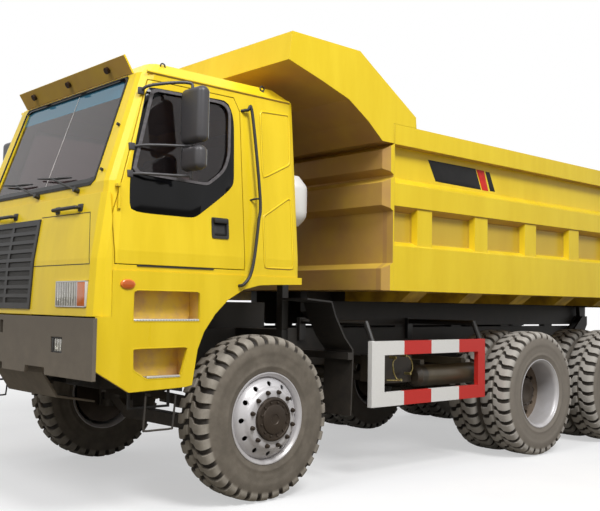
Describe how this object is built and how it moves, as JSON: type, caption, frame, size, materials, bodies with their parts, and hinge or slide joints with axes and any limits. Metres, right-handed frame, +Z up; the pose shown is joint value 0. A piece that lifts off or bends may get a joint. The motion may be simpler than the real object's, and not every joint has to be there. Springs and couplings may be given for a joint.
{
  "type": "mining dump truck",
  "caption": "Three-axle rock dump truck with offset cab, tipping ribbed body and canopy; wheels, steering, door and body move.",
  "frame": {"origin": "bottom centre of the whole truck's bounding box, on the ground", "axes": "+X towards the truck's left, +Y towards its tail, +Z up"},
  "size_m": [3.344, 8.4, 3.727],
  "materials": {
    "yellow_paint": "gloss",
    "chassis_paint": "satin",
    "bumper_paint": "satin",
    "cast_steel": "rough",
    "tank_paint": "satin",
    "white_paint": "gloss",
    "lamp_lens": "gloss",
    "window_glass": "polished",
    "black_plastic": "matte",
    "seat_cloth": "matte",
    "rod_chrome": "polished",
    "rim_paint": "satin",
    "tyre_rubber": "matte"
  },
  "bodies": {
    "chassis": {"frame": "chassis_paint", "cross_members": "chassis_paint", "bumper": "bumper_paint", "front_axle": "cast_steel", "front_springs": "chassis_paint", "drive_axles": "cast_steel", "rear_springs": "chassis_paint", "driveline": "chassis_paint", "engine_block": "chassis_paint", "fuel_tank": "chassis_paint", "air_tanks": "tank_paint", "side_guards": "chassis_paint", "mudguards": "chassis_paint", "air_cleaner": "white_paint", "lamps": "lamp_lens", "cab_shell": "yellow_paint", "cab_front": "yellow_paint", "grille": "black_plastic", "cab_glass": "window_glass", "sun_visor": "yellow_paint", "step_panels": "yellow_paint", "side_deck": "yellow_paint", "seats": "seat_cloth", "dashboard": "black_plastic", "mirror_right": "black_plastic"},
    "door": {"door": "yellow_paint", "door_glass": "window_glass", "mirror_left": "black_plastic"},
    "knuckle_left": {"knuckle_left": "cast_steel"},
    "knuckle_right": {"knuckle_right": "cast_steel"},
    "tie_rod": {"tie_rod": "cast_steel"},
    "wheel_front_left": {"rim_front_left": "rim_paint", "tyre_front_left": "tyre_rubber"},
    "wheel_front_right": {"rim_front_right": "rim_paint", "tyre_front_right": "tyre_rubber"},
    "wheel_fore_left": {"rims_fore_left": "rim_paint", "tyres_fore_left": "tyre_rubber"},
    "wheel_fore_right": {"rims_fore_right": "rim_paint", "tyres_fore_right": "tyre_rubber"},
    "wheel_aft_left": {"rims_aft_left": "rim_paint", "tyres_aft_left": "tyre_rubber"},
    "wheel_aft_right": {"rims_aft_right": "rim_paint", "tyres_aft_right": "tyre_rubber"},
    "bed": {"bed_floor": "yellow_paint", "bed_side_left": "yellow_paint", "bed_side_right": "yellow_paint", "bed_headboard": "yellow_paint", "bed_canopy": "yellow_paint", "bed_underframe": "yellow_paint"},
    "hoist_barrels": {"hoist_barrels": "chassis_paint"},
    "hoist_rods": {"hoist_rods": "rod_chrome"}
  },
  "joints": [
    {"name": "door_left", "type": "hinge", "parent": "chassis", "child": "door", "pos_m": [1.4, -4, 2.4], "axis": [0, 0, -1], "range_deg": [0, 70]},
    {"name": "steer_left", "type": "hinge", "parent": "chassis", "child": "knuckle_left", "pos_m": [1.01, -2.63, 0.65], "axis": [0, 0, 1], "range_deg": [-35, 35]},
    {"name": "steer_right", "type": "hinge", "parent": "chassis", "child": "knuckle_right", "pos_m": [-1.01, -2.63, 0.65], "axis": [0, 0, 1], "range_deg": [-35, 35]},
    {"name": "track_rod", "type": "hinge", "parent": "knuckle_left", "child": "tie_rod", "pos_m": [1.01, -2.4, 0.49], "axis": [0, 0, 1], "range_deg": [-35, 35]},
    {"name": "wheel_front_left", "type": "hinge", "parent": "knuckle_left", "child": "wheel_front_left", "pos_m": [1.25, -2.63, 0.65], "axis": [1, 0, 0], "continuous": true},
    {"name": "wheel_front_right", "type": "hinge", "parent": "knuckle_right", "child": "wheel_front_right", "pos_m": [-1.25, -2.63, 0.65], "axis": [1, 0, 0], "continuous": true},
    {"name": "wheel_fore_left", "type": "hinge", "parent": "chassis", "child": "wheel_fore_left", "pos_m": [1.19, 1.02, 0.65], "axis": [1, 0, 0], "continuous": true},
    {"name": "wheel_fore_right", "type": "hinge", "parent": "chassis", "child": "wheel_fore_right", "pos_m": [-1.19, 1.02, 0.65], "axis": [1, 0, 0], "continuous": true},
    {"name": "wheel_aft_left", "type": "hinge", "parent": "chassis", "child": "wheel_aft_left", "pos_m": [1.19, 2.68, 0.65], "axis": [1, 0, 0], "continuous": true},
    {"name": "wheel_aft_right", "type": "hinge", "parent": "chassis", "child": "wheel_aft_right", "pos_m": [-1.19, 2.68, 0.65], "axis": [1, 0, 0], "continuous": true},
    {"name": "bed_tip", "type": "hinge", "parent": "chassis", "child": "bed", "pos_m": [0, 3.7, 1.4], "axis": [-1, 0, 0], "range_deg": [0, 45]},
    {"name": "hoist_swing", "type": "hinge", "parent": "chassis", "child": "hoist_barrels", "pos_m": [0, 1, 1.06], "axis": [1, 0, 0], "range_deg": [-2, 15]},
    {"name": "hoist_stroke", "type": "slide", "parent": "hoist_barrels", "child": "hoist_rods", "axis": [0, 0.9764, 0.2158], "range_m": [-0.01, 0.45]}
  ],
  "couplings": [
    {"joint": "steer_right", "follows": "steer_left", "ratio": 1},
    {"joint": "track_rod", "follows": "steer_left", "ratio": -1},
    {"joint": "hoist_swing", "follows": "bed_tip", "ratio": 0.27361},
    {"joint": "hoist_stroke", "follows": "bed_tip", "m_per_rad": 0.51936}
  ]
}
